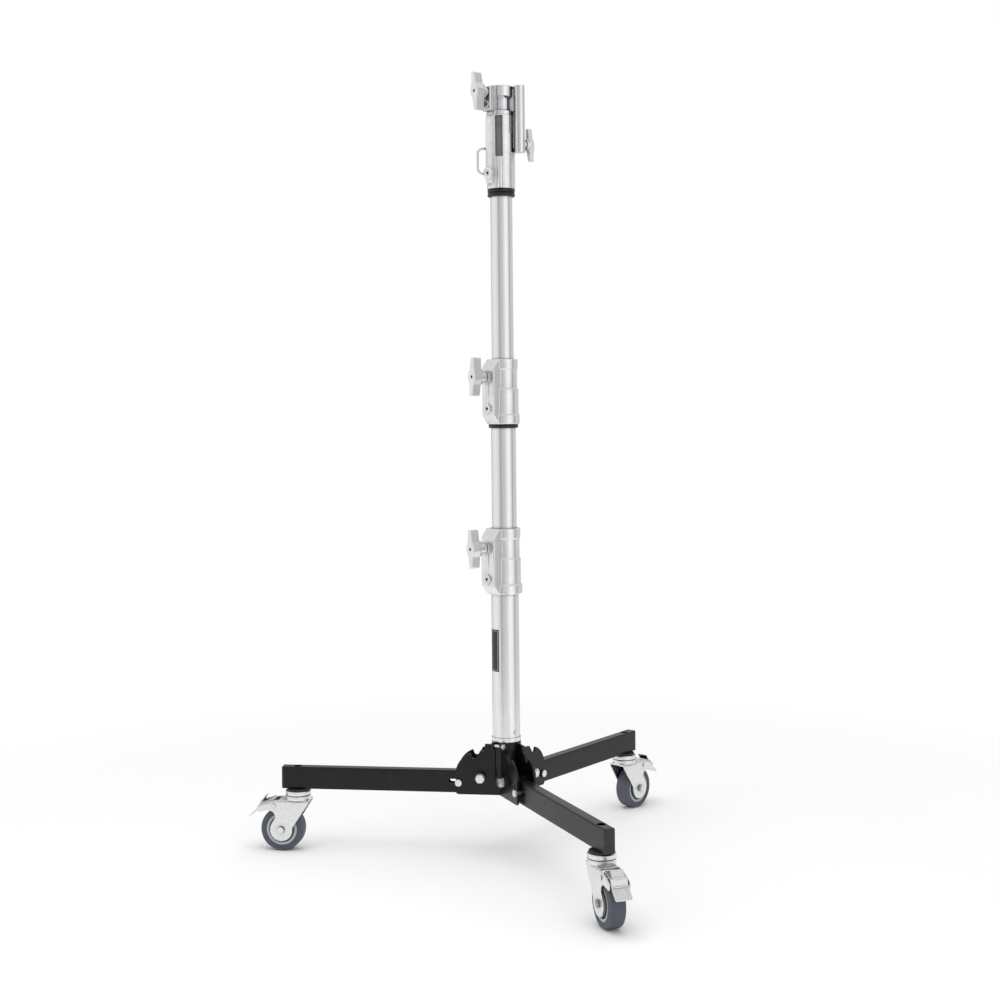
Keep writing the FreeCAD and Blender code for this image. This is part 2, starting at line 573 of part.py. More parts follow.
def junior_receiver():
    """Socket for a 28 mm spigot, on top of the casting, with the knob boss at its side."""
    flange_top = HEAD_TOP + FLANGE_HEIGHT
    block = box(
        (0, -RECEIVER_BOSS_HALF_WIDTH, flange_top),
        (RECEIVER_BOSS_FRONT, RECEIVER_BOSS_HALF_WIDTH, RECEIVER_TOP - 2),
    )
    block = on_lines(block, lambda b: b.XMin > 20, 2.5)
    screw_z, knob_z = RECEIVER_SCREW_Z, RECEIVER_KNOB_Z
    screw_boss = cylinder(SCREW_BOSS_R, (0, 0, screw_z), (RECEIVER_BOSS_FRONT + 1, 0, screw_z))
    web, socket_seat = socket_web(flange_top, RECEIVER_TOP - 6)
    body = joined([receiver_body(), turned(block, KNOB_ANGLE), turned(screw_boss, KNOB_ANGLE), web])
    far = SIDE_R + 10
    screw_start = RECEIVER_BOSS_FRONT - SET_SCREW_LENGTH - SEAT_GAP
    knob_hole = cylinder(KNOB_SCREW_R + SLIDE_GAP, (0, 0, knob_z), (far, 0, knob_z))
    screw_hole = cylinder(SET_SCREW_R + SEAT_GAP, (screw_start, 0, screw_z), (far, 0, screw_z))
    slit = box(
        (RECEIVER_BORE_R - 1, -SLIT_HALF_WIDTH, HEAD_TOP - 1),
        (SIDE_R, SLIT_HALF_WIDTH, RECEIVER_TOP - RECEIVER_RING_HEIGHT),
    )
    openings = [
        cylinder(RECEIVER_BORE_R, (0, 0, RECEIVER_TOP - RECEIVER_DEPTH), (0, 0, RECEIVER_TOP + 1)),
        turned(knob_hole, KNOB_ANGLE),
        turned(screw_hole, KNOB_ANGLE),
        turned(slit, SLIT_ANGLE),
        socket_seat,
    ]
    for opening in openings:
        body = body.cut(opening)
    return body


def aimed_at_side_knob(shape):
    """Turn a shape made along X so that it points the side knob's way from the socket's axis."""
    shape.rotate(Vector(0, 0, 0), Vector(0, 0, 1), SIDE_KNOB_ANGLE - SIDE_ANGLE)
    return turned(shape, SIDE_ANGLE, SIDE_R)


def side_socket():
    """Tube for a 16 mm spigot at the side of the head, with a threaded pad for its knob."""
    tube = cylinder(SOCKET_R, (0, 0, SOCKET_BOTTOM), (0, 0, SOCKET_TOP))
    pad = cylinder(SIDE_PAD_R, (0, 0, SIDE_KNOB_Z), (SOCKET_R + SIDE_PAD_PROUD, 0, SIDE_KNOB_Z))
    bore = cylinder(SOCKET_BORE_R, (0, 0, SOCKET_BOTTOM + SOCKET_FLOOR), (0, 0, SOCKET_TOP + 1))
    hole_r = KNOB_SCREW_R * SIDE_KNOB_SCALE + SLIDE_GAP
    hole = cylinder(hole_r, (0, 0, SIDE_KNOB_Z), (2 * SOCKET_R, 0, SIDE_KNOB_Z))
    return aimed_at_side_knob(joined([tube, pad]).cut(bore).cut(hole))


def side_knob():
    """Smaller and flatter T-handle of the side socket."""
    face = SOCKET_R + SIDE_PAD_PROUD
    tip = SOCKET_BORE_R + 0.1
    return aimed_at_side_knob(
        t_knob(face, SIDE_WING_FRONT, SIDE_KNOB_Z, tip, 0.0, SIDE_KNOB_SCALE, depth=9.0, tilt=-6.0)
    )


def safety_loop():
    """D-shaped rod loop whose two ends sit in holes of the casting."""
    corner = LOOP_BEND_R * (1 - math.sqrt(0.5))
    bend_x = LOOP_REACH - LOOP_BEND_R
    upper_bend = Part.Arc(
        Vector(bend_x, 0, LOOP_TOP),
        Vector(LOOP_REACH - corner, 0, LOOP_TOP - corner),
        Vector(LOOP_REACH, 0, LOOP_TOP - LOOP_BEND_R),
    )
    lower_bend = Part.Arc(
        Vector(LOOP_REACH, 0, LOOP_BOTTOM + LOOP_BEND_R),
        Vector(LOOP_REACH - corner, 0, LOOP_BOTTOM + corner),
        Vector(bend_x, 0, LOOP_BOTTOM),
    )
    start, end = Vector(LOOP_SEAT_R, 0, LOOP_TOP), Vector(LOOP_SEAT_R, 0, LOOP_BOTTOM)
    path = Part.Wire(
        [
            Part.LineSegment(start, upper_bend.StartPoint).toShape(),
            upper_bend.toShape(),
            Part.LineSegment(upper_bend.EndPoint, lower_bend.StartPoint).toShape(),
            lower_bend.toShape(),
            Part.LineSegment(lower_bend.EndPoint, end).toShape(),
        ]
    )
    section = Part.Wire([Part.makeCircle(LOOP_ROD_R, start, Vector(1, 0, 0))])
    return turned(path.makePipeShell([section], True, False), LOOP_ANGLE)


# --- Legs -----------------------------------------------------------------------------------------
def rounded_bar(half_width, low, high, radius, start, end):
    """Bar along X with rounded long edges."""
    bar = box((start, -half_width, low), (end, half_width, high))
    return on_lines(bar, lambda b: b.XLength > (end - start) / 2, radius)


def slot_outline():
    """Slot for the lock pin, as a round-ended path."""
    start, end = LOCK_X - 0.5, LOCK_X + LOCK_TRAVEL + 1
    low, high = LOCK_Z - SLOT_HALF_HEIGHT, LOCK_Z + SLOT_HALF_HEIGHT
    return [
        (start, low),
        arc((end, low), (end + SLOT_HALF_HEIGHT, LOCK_Z), (end, high)),
        arc((start, high), (start - SLOT_HALF_HEIGHT, LOCK_Z), (start, low)),
    ]


def leg_tube():
    """Rectangular tube with its pivot hole, lock slot and caster holes."""
    outside = rounded_bar(LEG_HALF_WIDTH, LEG_BOTTOM, LEG_TOP, LEG_CORNER_R, LEG_INNER_END, LEG_OUTER_END)
    inside = box(
        (LEG_INNER_END - 1, LEG_WALL - LEG_HALF_WIDTH, LEG_BOTTOM + LEG_WALL),
        (LEG_OUTER_END + 1, LEG_HALF_WIDTH - LEG_WALL, LEG_TOP - LEG_WALL),
    )
    far = 2 * LEG_HALF_WIDTH
    openings = [
        inside,
        cylinder(PIVOT_R + SLIDE_GAP, (PIVOT_X, -far, PIVOT_Z), (PIVOT_X, far, PIVOT_Z)),
        side_plate(slot_outline(), -far, far),
        cylinder(STEM_R + SEAT_GAP, (CASTER_X, 0, LEG_BOTTOM - 5), (CASTER_X, 0, LEG_BOTTOM + 5)),
        cylinder(STEM_NUT_R, (CASTER_X, 0, LEG_TOP - 5), (CASTER_X, 0, LEG_TOP + 5)),
    ]
    for opening in openings:
        outside = outside.cut(opening)
    return outside


def end_cap():
    """Moulded plug with a flat face that closes the leg's outer end."""
    outside = LEG_OUTER_END + CAP_THICKNESS
    face = rounded_bar(
        LEG_HALF_WIDTH, LEG_BOTTOM, LEG_TOP, LEG_CORNER_R, LEG_OUTER_END + SEAT_GAP, outside
    )
    face = on_lines(face, lambda b: b.XMin > outside - 0.5, 1.0)
    margin = LEG_WALL + 0.1
    plug = box(
        (LEG_OUTER_END - PLUG_LENGTH, margin - LEG_HALF_WIDTH, LEG_BOTTOM + margin),
        (LEG_OUTER_END + 1, LEG_HALF_WIDTH - margin, LEG_TOP - margin),
    )
    return joined([face, plug])


def lock_pin():
    """Sliding shank inside the leg's slot, and a round head outside each ear."""
    inner = EAR_INNER - 0.2
    pieces = [cylinder(LOCK_R, (LOCK_X, -inner, LOCK_Z), (LOCK_X, inner, LOCK_Z))]
    for side in (1, -1):
        seat = side * (EAR_OUTER + LOCK_HEAD_GAP)
        face = seat + side * LOCK_HEAD_THICKNESS
        head = cylinder(LOCK_HEAD_R, (LOCK_X, seat, LOCK_Z), (LOCK_X, face, LOCK_Z))
        pieces.append(on_lines(head, lambda b, y=face: abs(b.YMin - y) < 0.1 and abs(b.YMax - y) < 0.1, 1.2))
    return pieces


# --- Casters --------------------------------------------------------------------------------------
def race(radius, bottom, top):
    """Turned disc of the swivel, with its rims rounded off."""
    disc = cylinder(radius, (0, 0, bottom), (0, 0, top))
    return on_lines(disc, lambda b: b.ZLength < 0.1, RACE_RIM)


def caster_stem():
    """Kingpin with its nut, and the upper race that stays with the leg."""
    upper_race = race(RACE_R, RACE_SPLIT + 0.4, RACE_TOP)
    foot = RACE_BOTTOM - 8
    stem = cylinder(STEM_R, (0, 0, foot), (0, 0, LEG_BOTTOM + 14))
    nut = cylinder(STEM_NUT_R, (0, 0, LEG_BOTTOM + LEG_WALL + 0.1), (0, 0, LEG_BOTTOM + 11))
    head = cylinder(9.5, (0, 0, foot), (0, 0, RACE_BOTTOM - 4.5))
    return joined([upper_race, stem, nut, head])


def caster_spacer():
    """Plastic washer between the leg and the upper race."""
    return ring(SPACER_R, STEM_R + SEAT_GAP, RACE_TOP + SEAT_GAP, LEG_BOTTOM - SEAT_GAP)


def cheek_path():
    """Fork cheek: leading edge down to a lobe round the axle, then the brake housing."""
    left = (TRAIL - LOBE_R, AXLE_Z + 3)
    right_turn = math.radians(22.0)
    right = (TRAIL + LOBE_R * math.cos(right_turn), AXLE_Z + LOBE_R * math.sin(right_turn))
    return [
        (-RACE_R, RACE_BOTTOM),
        (-RACE_R, RACE_BOTTOM - 5),
        arc(left, (TRAIL, AXLE_Z - LOBE_R), right),
        arc((39.5, 62.0), (43.5, 71.5), (54.0, 74.5)),
        (67.0, 73.0),
        (71.0, 71.5),
        (74.5, 81.5),
        arc((72.0, 84.0), (52.0, 92.0), (24.0, RACE_BOTTOM)),
    ]


def fork():
    """Stamped fork: two cheeks with rounded shoulders, the crown between them and the lower race."""
    block = side_plate(cheek_path(), -FORK_OUTER, FORK_OUTER)
    pivot_x, pivot_z = PEDAL_PIVOT
    body = on_lines(
        block, lambda b: b.ZMin > pivot_z - 1 and b.YLength < 0.1 and b.XLength > 5, FORK_SHOULDER_R
    )
    body = body.cut(
        box((-2 * RACE_R, -FORK_INNER, 0), (CROWN_TAIL, FORK_INNER, RACE_BOTTOM - CROWN_THICKNESS))
    )
    body = body.cut(box((CROWN_TAIL - 1, -FORK_INNER, 0), (4 * RACE_R, FORK_INNER, RACE_TOP)))
    body = joined([body, race(RACE_R, RACE_BOTTOM - 1, RACE_SPLIT)])
    far = 2 * FORK_OUTER
    holes = [
        cylinder(STEM_R + SLIDE_GAP, (0, 0, 80), (0, 0, 120)),
        cylinder(AXLE_R + SEAT_GAP, (TRAIL, -far, AXLE_Z), (TRAIL, far, AXLE_Z)),
        cylinder(RIVET_R + SEAT_GAP, (pivot_x, -far, pivot_z), (pivot_x, far, pivot_z)),
    ]
    for hole in holes:
        body = body.cut(hole)
    return body


def axle_set():
    """Axle bolt and nut, the thread guards at both sides and the pedal's rivet."""
    end = FORK_OUTER + SEAT_GAP
    far = 2 * FORK_OUTER
    head_thickness, nut_thickness = 4.5, 5.0
    bolt = joined(
        [
            cylinder(AXLE_R, (TRAIL, -end - nut_thickness - 1, AXLE_Z), (TRAIL, end + 1, AXLE_Z)),
            hexagon(AXLE_NUT_R, (TRAIL, end, AXLE_Z), (TRAIL, end + head_thickness, AXLE_Z)),
            hexagon(AXLE_NUT_R, (TRAIL, -end, AXLE_Z), (TRAIL, -end - nut_thickness, AXLE_Z)),
        ]
    )
    pivot_x, pivot_z = PEDAL_PIVOT
    rivet_end = end + 1.4
    rivet = joined(
        [
            cylinder(RIVET_R, (pivot_x, -end, pivot_z), (pivot_x, end, pivot_z)),
            cylinder(RIVET_HEAD_R, (pivot_x, end, pivot_z), (pivot_x, rivet_end, pivot_z)),
            cylinder(RIVET_HEAD_R, (pivot_x, -end, pivot_z), (pivot_x, -rivet_end, pivot_z)),
        ]
    )
    pieces = [bolt, rivet]
    for side in (1, -1):
        inside, outside = side * (HUB_HALF_WIDTH + 0.3), side * (FORK_INNER - SEAT_GAP)
        guard = cylinder(GUARD_R, (TRAIL, inside, AXLE_Z), (TRAIL, outside, AXLE_Z))
        pieces.append(guard.cut(cylinder(AXLE_R + SEAT_GAP, (TRAIL, -far, AXLE_Z), (TRAIL, far, AXLE_Z))))
    return pieces


def wheel_placed(shape):
    """Turn a wheel made about Z so that it runs on the axle."""
    shape.rotate(Vector(0, 0, 0), Vector(1, 0, 0), 90)
    shape.translate(Vector(TRAIL, 0, AXLE_Z))
    return shape


def tyre():
    """Grey rubber tread with rounded shoulders."""
    half = TYRE_HALF_WIDTH
    band = ring(WHEEL_R, TYRE_INNER_R + SEAT_GAP, -half, half)
    band = on_lines(band, lambda b: b.ZLength < 0.1 and b.XLength > 2 * WHEEL_R - 1, TYRE_SHOULDER_R)
    return wheel_placed(band)


def wheel_core():
    """Plastic rim, web and hub."""
    rim_half, web_half = TYRE_HALF_WIDTH - 0.8, WEB_THICKNESS / 2
    outline = [
        (AXLE_R + SLIDE_GAP, HUB_HALF_WIDTH),
        (HUB_R, HUB_HALF_WIDTH),
        (HUB_R, web_half),
        (RIM_INNER_R, web_half),
        (RIM_INNER_R, rim_half),
        (TYRE_INNER_R, rim_half),
    ]
    mirrored = [(radius, -width) for radius, width in reversed(outline)]
    return wheel_placed(revolved(outline + mirrored))


def brake_pedal():
    """Bent pedal: a barrel on the rivet, the strip over the housing and two foot tabs."""
    pivot_x, pivot_z = PEDAL_PIVOT
    bend, break_line, lower_tip, upper_tip = (69.0, 87.5), (73.5, 76.5), (91.0, 61.5), (61.0, 99.0)
    arm_start = (46.5, 94.5)
    half = PEDAL_HALF_WIDTH
    barrel = cylinder(PEDAL_BARREL_R, (pivot_x, -half, pivot_z), (pivot_x, half, pivot_z))
    arm = strip([(pivot_x, pivot_z), arm_start, bend], PEDAL_THICKNESS, half)
    lower_tab = strip([bend, break_line, lower_tip], PEDAL_THICKNESS, half)
    plan = box((pivot_x, -half, 0), (lower_tip[0] + 1, half, 2 * pivot_z))
    lower_tab = lower_tab.common(on_lines(plan, lambda b: b.ZLength > 1 and b.XMin > bend[0], 4.0))
    upper_tab = strip([(68.0, 88.0), upper_tip], PEDAL_THICKNESS, UPPER_TAB_HALF_WIDTH)
    body = joined([barrel, arm, lower_tab, upper_tab])
    far = 2 * half
    return body.cut(cylinder(RIVET_R + SLIDE_GAP, (pivot_x, -far, pivot_z), (pivot_x, far, pivot_z)))


# --- Output ---------------------------------------------------------------------------------------
def save(name, shapes):
    """Write one node, after a look at whether every solid in it is sound."""
    solids = [solid for shape in shapes for solid in shape.Solids]
    shape = solids[0] if len(solids) == 1 else Part.makeCompound(solids)
    assert solids and all(solid.isValid() for solid in solids), name
    shape.exportStep(os.path.join("parts", name + ".step"))


def save_base():
    """Everything that stands still: the hub, the base tube, its collar and its knob."""
    save("hub_sleeve", [hub_sleeve()])
    ears = [ear_plate(side) for side in (1, -1)]
    for name, angle in LEG_ANGLES.items():
        save("hub_ears_" + name, [turned(ear, angle) for ear in ears])
    save("pivot_bolts", [turned(pivot_bolt(), angle) for angle in LEG_ANGLES.values()])
    spacers = pivot_spacers()
    save("pivot_spacers", [turned(spacer, angle) for angle in LEG_ANGLES.values() for spacer in spacers])
    save("base_screws", base_screws())
    save("base_tube", [base_tube()])
    save("base_rim", [ring(SLEEVE_R, BASE_R + SEAT_GAP, SLEEVE_TOP + SEAT_GAP, RIM_TOP)])
    base_collar = collar(
        BASE_COLLAR_BOTTOM, BASE_COLLAR_TOP, BASE_COLLAR_RADII,
        BASE_BOSS_FRONT, BASE_BOSS_HALF_WIDTH, BASE_R, MIDDLE_R, BASE_KNOB_Z,
    )
    save("base_collar", [base_collar])
    save("base_bush", [clamp_bush(MIDDLE_R, BASE_R, BASE_COLLAR_TOP, BASE_KNOB_Z)])
    face = BASE_BOSS_FRONT + 2 * BOSS_PROUD
    save("base_knob", [t_knob(face, BASE_WING_FRONT, BASE_KNOB_Z, MIDDLE_R + 0.1, KNOB_ANGLE, tilt=3.0)])


def save_middle():
    """The middle riser with its collar, bush, rings and knob."""
    tube_top = MIDDLE_COLLAR_TOP - BUSH_HEIGHT - SEAT_GAP
    save("middle_riser", [ring(MIDDLE_R, MIDDLE_BORE_R, MIDDLE_FOOT, tube_top)])
    save("middle_foot_ring", [foot_ring(BASE_BORE_R - SLIDE_GAP, MIDDLE_BORE_R, MIDDLE_FOOT)])
    middle_collar = collar(
        MIDDLE_COLLAR_BOTTOM, MIDDLE_COLLAR_TOP, MIDDLE_COLLAR_RADII,
        MIDDLE_BOSS_FRONT, MIDDLE_BOSS_HALF_WIDTH, MIDDLE_R, UPPER_R, MIDDLE_KNOB_Z,
    )
    save("middle_collar", [middle_collar])
    save("middle_bush", [clamp_bush(UPPER_R, MIDDLE_R, MIDDLE_COLLAR_TOP, MIDDLE_KNOB_Z)])
    ring_top = MIDDLE_COLLAR_BOTTOM - SEAT_GAP
    ring_bottom = ring_top - RUBBER_RING_HEIGHT
    save("middle_rubber_ring", [rubber_ring(MIDDLE_R + SEAT_GAP, 27.0, ring_bottom, ring_top)])
    screw_z = MIDDLE_COLLAR_BOTTOM + SET_SCREW_ABOVE_BOTTOM
    save("middle_set_screw", [turned(set_screw(MIDDLE_BOSS_FRONT + BOSS_PROUD, screw_z), KNOB_ANGLE)])
    face = MIDDLE_BOSS_FRONT + 2 * BOSS_PROUD
    knob = t_knob(face, MIDDLE_WING_FRONT, MIDDLE_KNOB_Z, UPPER_R + 0.1, KNOB_ANGLE, tilt=-4.0)
    save("middle_knob", [knob])


def save_head():
    """The upper riser and everything on it."""
    save("upper_riser", [ring(UPPER_R, UPPER_BORE_R, UPPER_FOOT, HEAD_TOP - 1)])
    save("upper_foot_ring", [foot_ring(MIDDLE_BORE_R - SLIDE_GAP, UPPER_BORE_R, UPPER_FOOT)])
    ring_top = HEAD_BOTTOM - SEAT_GAP
    rings = [
        rubber_ring(UPPER_R + SEAT_GAP, 25.0, top - RUBBER_RING_HEIGHT, top)
        for top in (ring_top, ring_top - RUBBER_RING_HEIGHT - SEAT_GAP)
    ]
    save("upper_rubber_rings", rings)
    save("head_casting", [head_casting()])
    save("head_bush", [ring(HEAD_BORE_R, UPPER_R + SEAT_GAP, HEAD_BOTTOM + 2, HEAD_TOP)])
    save("head_screws", head_screws())
    save("junior_receiver", [junior_receiver()])
    save("side_socket", [side_socket()])
    save("safety_loop", [safety_loop()])
    tip = RECEIVER_BORE_R + 0.1
    knob = t_knob(RECEIVER_BOSS_FRONT, HEAD_WING_FRONT, RECEIVER_KNOB_Z, tip, KNOB_ANGLE, tilt=6.0)
    save("head_knob", [knob])
    save("side_knob", [side_knob()])


def save_leg(name):
    """One leg with its cap, lock pin and caster, turned to the leg's direction."""
    angle = LEG_ANGLES[name]
    on_leg = {"leg_tube": [leg_tube()], "end_cap": [end_cap()], "lock_pin": lock_pin()}
    for piece, shapes in on_leg.items():
        save(piece + "_" + name, [turned(shape, angle) for shape in shapes])
    on_caster = {
        "caster_stem": [caster_stem()],
        "caster_spacer": [caster_spacer()],
        "fork": [fork()],
        "axle": axle_set(),
        "tyre": [tyre()],
        "wheel_core": [wheel_core()],
        "brake_pedal": [brake_pedal()],
    }
    for piece, shapes in on_caster.items():
        trailing = [turned(shape, TRAIL_TURNS[name]) for shape in shapes]
        save(piece + "_" + name, [turned(shape, angle, CASTER_X) for shape in trailing])


os.makedirs("parts", exist_ok=True)
save_base()
save_middle()
save_head()
for leg_name in LEG_ANGLES:
    save_leg(leg_name)
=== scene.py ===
"""Looks of the low rolling background stand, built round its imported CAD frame. Units are metres."""
import bmesh
import bpy
import json
import math
from mathutils import Matrix, Vector


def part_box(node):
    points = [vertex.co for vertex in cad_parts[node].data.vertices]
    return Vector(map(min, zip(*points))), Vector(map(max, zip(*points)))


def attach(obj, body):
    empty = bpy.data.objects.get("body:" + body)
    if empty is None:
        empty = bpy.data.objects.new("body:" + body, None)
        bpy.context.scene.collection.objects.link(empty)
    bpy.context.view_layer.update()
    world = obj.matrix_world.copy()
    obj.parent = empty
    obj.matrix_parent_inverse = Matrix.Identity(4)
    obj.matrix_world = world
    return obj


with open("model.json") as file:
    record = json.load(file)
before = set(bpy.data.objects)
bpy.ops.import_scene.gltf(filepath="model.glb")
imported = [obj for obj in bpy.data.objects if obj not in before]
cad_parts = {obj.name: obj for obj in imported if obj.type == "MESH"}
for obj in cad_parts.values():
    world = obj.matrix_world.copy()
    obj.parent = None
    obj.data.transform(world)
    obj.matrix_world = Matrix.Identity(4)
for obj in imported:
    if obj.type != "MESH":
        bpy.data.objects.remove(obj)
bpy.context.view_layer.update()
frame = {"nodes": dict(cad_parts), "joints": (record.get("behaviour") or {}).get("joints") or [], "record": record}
nodes = frame["nodes"]
joints = {joint["name"]: joint for joint in frame["joints"]}
LEGS = ("front", "left", "right")


# --- Material building blocks ---------------------------------------------------------------------
EDGE_MATCH = (0.75, 0.99)  # how well the rounded normal matches the true one, on an edge and beside it
OPEN_SHARE = (0.35, 0.9)  # share of the surroundings that is open, deep in a hollow and outside it


class Finish:
    """A node material under construction, read from object coordinates in metres."""

    def __init__(self, name):
        """Start from a plain Principled material."""
        self.material = bpy.data.materials.new(name)
        self.material.use_nodes = True
        self.tree = self.material.node_tree
        self.shader = self.tree.nodes["Principled BSDF"]
        self.coords = self.node("ShaderNodeTexCoord").outputs["Object"]
        self.normal = None

    def node(self, kind, **settings):
        """Add a node of a kind and set its properties."""
        made = self.tree.nodes.new(kind)
        for key, value in settings.items():
            setattr(made, key, value)
        return made

    def link(self, output, target):
        """Wire an output to an input."""
        self.tree.links.new(output, target)

    def noise(self, scale, detail=3.0, stretch=(1.0, 1.0, 1.0), roughness=0.5):
        """Noise value 0 to 1. Scale is in cells per metre; stretch multiplies it per axis."""
        mapping = self.node("ShaderNodeMapping")
        mapping.inputs["Scale"].default_value = stretch
        self.link(self.coords, mapping.inputs["Vector"])
        noise = self.node("ShaderNodeTexNoise")
        noise.inputs["Scale"].default_value = scale
        noise.inputs["Detail"].default_value = detail
        noise.inputs["Roughness"].default_value = roughness
        self.link(mapping.outputs["Vector"], noise.inputs["Vector"])
        return noise.outputs["Fac"]

    def remap(self, value, low, high, out_low, out_high):
        """Value carried from the range low to high over to out_low to out_high, and held at both ends."""
        made = self.node("ShaderNodeMapRange")
        self.link(value, made.inputs["Value"])
        for key, number in zip(("From Min", "From Max", "To Min", "To Max"), (low, high, out_low, out_high)):
            made.inputs[key].default_value = number
        return made.outputs["Result"]

    def mix(self, factor, first, second):
        """Blend two colours, each a tuple or a node output."""
        made = self.node("ShaderNodeMix", data_type="RGBA")
        self.set(made.inputs["Factor"], factor)
        first_colour, second_colour = (socket for socket in made.inputs if socket.type == "RGBA")
        self.set(first_colour, first)
        self.set(second_colour, second)
        return next(socket for socket in made.outputs if socket.type == "RGBA")

    def combine(self, operation, first, second):
        """Result of a sum on two values, each a number or a node output."""
        made = self.node("ShaderNodeMath", operation=operation)
        self.set(made.inputs[0], first)
        self.set(made.inputs[1], second)
        return made.outputs[0]

    def blend(self, factor, first, second):
        """Blend two shader nodes."""
        made = self.node("ShaderNodeMixShader")
        self.link(factor, made.inputs["Fac"])
        self.link(first.outputs[0], made.inputs[1])
        self.link(second.outputs[0], made.inputs[2])
        return made

    def set(self, target, value):
        """Feed an input from a node output, a colour or a number."""
        if isinstance(value, bpy.types.NodeSocket):
            self.link(value, target)
        elif isinstance(value, tuple) and len(value) == 3:
            target.default_value = (*value, 1.0)
        else:
            target.default_value = value

    def rounded_edges(self, radius):
        """Shade sharp edges as if they had this radius. Returns the edge mask, 1 along edges, which the finishes
        use for worn edges and a painted highlight.
        """
        bevel = self.node("ShaderNodeBevel", samples=4)
        bevel.inputs["Radius"].default_value = radius
        self.normal = bevel.outputs["Normal"]
        geometry = self.node("ShaderNodeNewGeometry")
        dot = self.node("ShaderNodeVectorMath", operation="DOT_PRODUCT")
        self.link(self.normal, dot.inputs[0])
        self.link(geometry.outputs["Normal"], dot.inputs[1])
        return self.remap(dot.outputs["Value"], *EDGE_MATCH, 1.0, 0.0)

    def painted_hollow_shade(self, reach):
        """Mask of the corners and holes that light hardly reaches, 1 deep inside them. The finishes paint shade
        into their colour with it.
        """
        occlusion = self.node("ShaderNodeAmbientOcclusion", samples=6)
        occlusion.inputs["Distance"].default_value = reach
        return self.remap(occlusion.outputs["AO"], *OPEN_SHARE, 1.0, 0.0)

    def bump(self, height, distance, strength=1.0):
        """Add relief from a height value to the normal so far."""
        made = self.node("ShaderNodeBump")
        made.inputs["Distance"].default_value = distance
        made.inputs["Strength"].default_value = strength
        self.link(height, made.inputs["Height"])
        if self.normal is not None:
            self.link(self.normal, made.inputs["Normal"])
        self.normal = made.outputs["Normal"]

    def finish(self, colour, roughness, metallic=0.0, extras=None):
        """Feed the shader, with extra inputs by name, and return the material."""
        self.set(self.shader.inputs["Base Color"], colour)
        self.set(self.shader.inputs["Roughness"], roughness)
        self.shader.inputs["Metallic"].default_value = metallic
        for key, value in (extras or {}).items():
            self.shader.inputs[key].default_value = value
        if self.normal is not None:
            self.link(self.normal, self.shader.inputs["Normal"])
        return self.material


# --- Materials ------------------------------------------------------------------------------------
def satin_chrome():
    """Drawn tube: fine lengthwise grain, faint handling marks, a satin sheen and painted shade in its corners."""
    look = Finish("satin_chrome")
    look.rounded_edges(0.0006)
    grain = look.noise(1800.0, 2.0, (1.0, 1.0, 0.02))
    marks = look.noise(60.0, 4.0, (1.0, 1.0, 0.12), 0.6)
    look.bump(grain, 0.00001, 0.25)
    tint = look.mix(look.remap(marks, 0.35, 0.7, 0.0, 1.0), (0.835, 0.835, 0.84), (0.865, 0.865, 0.867))
    # Painted shade: the colour turns dark grey in corners and recesses.
    tint = look.mix(look.painted_hollow_shade(0.006), tint, (0.30, 0.30, 0.31))
    scuffs = look.remap(marks, 0.5, 0.8, 0.0, 0.03)
    rough = look.combine("ADD", look.remap(grain, 0.3, 0.7, 0.24, 0.28), scuffs)
    return look.finish(tint, rough, 1.0)


def bright_chrome():
    """Polished receiver: small ripples, a few dull spots and painted shade, nearly black, in its seams and
    recesses.
    """
    look = Finish("bright_chrome")
    look.rounded_edges(0.0009)
    ripple = look.noise(150.0, 3.0)
    spots = look.noise(500.0, 4.0, roughness=0.7)
    look.bump(ripple, 0.0004, 0.35)
    tint = look.mix(look.remap(spots, 0.4, 0.7, 0.0, 1.0), (0.86, 0.87, 0.88), (0.74, 0.75, 0.77))
    # Painted shade: the colour turns nearly black in seams and recesses.
    tint = look.mix(look.painted_hollow_shade(0.022), tint, (0.07, 0.07, 0.08))
    return look.finish(tint, look.remap(spots, 0.4, 0.75, 0.07, 0.16), 1.0)


def cast_metal():
    """Shot-blasted casting: pebbled skin, rubbed edges that are smoother and painted brighter, partly as worn
    metal and partly as a painted highlight, and painted shade in its recesses.
    """
    look = Finish("cast_metal")
    edge_wear_and_highlight = look.rounded_edges(0.0012)
    grain = look.noise(1500.0, 3.0, roughness=0.65)
    pits = look.noise(420.0, 2.0)
    cloud = look.noise(45.0, 4.0, roughness=0.6)
    look.bump(pits, 0.00018, 0.4)
    look.bump(grain, 0.00008, 0.5)
    tint = look.mix(look.remap(cloud, 0.35, 0.7, 0.0, 1.0), (0.79, 0.795, 0.805), (0.87, 0.875, 0.88))
    # Edges painted near white: partly worn metal, partly a painted highlight.
    tint = look.mix(edge_wear_and_highlight, tint, (0.97, 0.97, 0.975))
    # Painted shade: the colour turns dark in corners and recesses.
    tint = look.mix(look.painted_hollow_shade(0.011), tint, (0.14, 0.14, 0.15))
    rubbed = look.combine("MULTIPLY", edge_wear_and_highlight, 0.08)
    rough = look.combine("SUBTRACT", look.remap(grain, 0.3, 0.7, 0.19, 0.30), rubbed)
    return look.finish(tint, rough, 1.0)


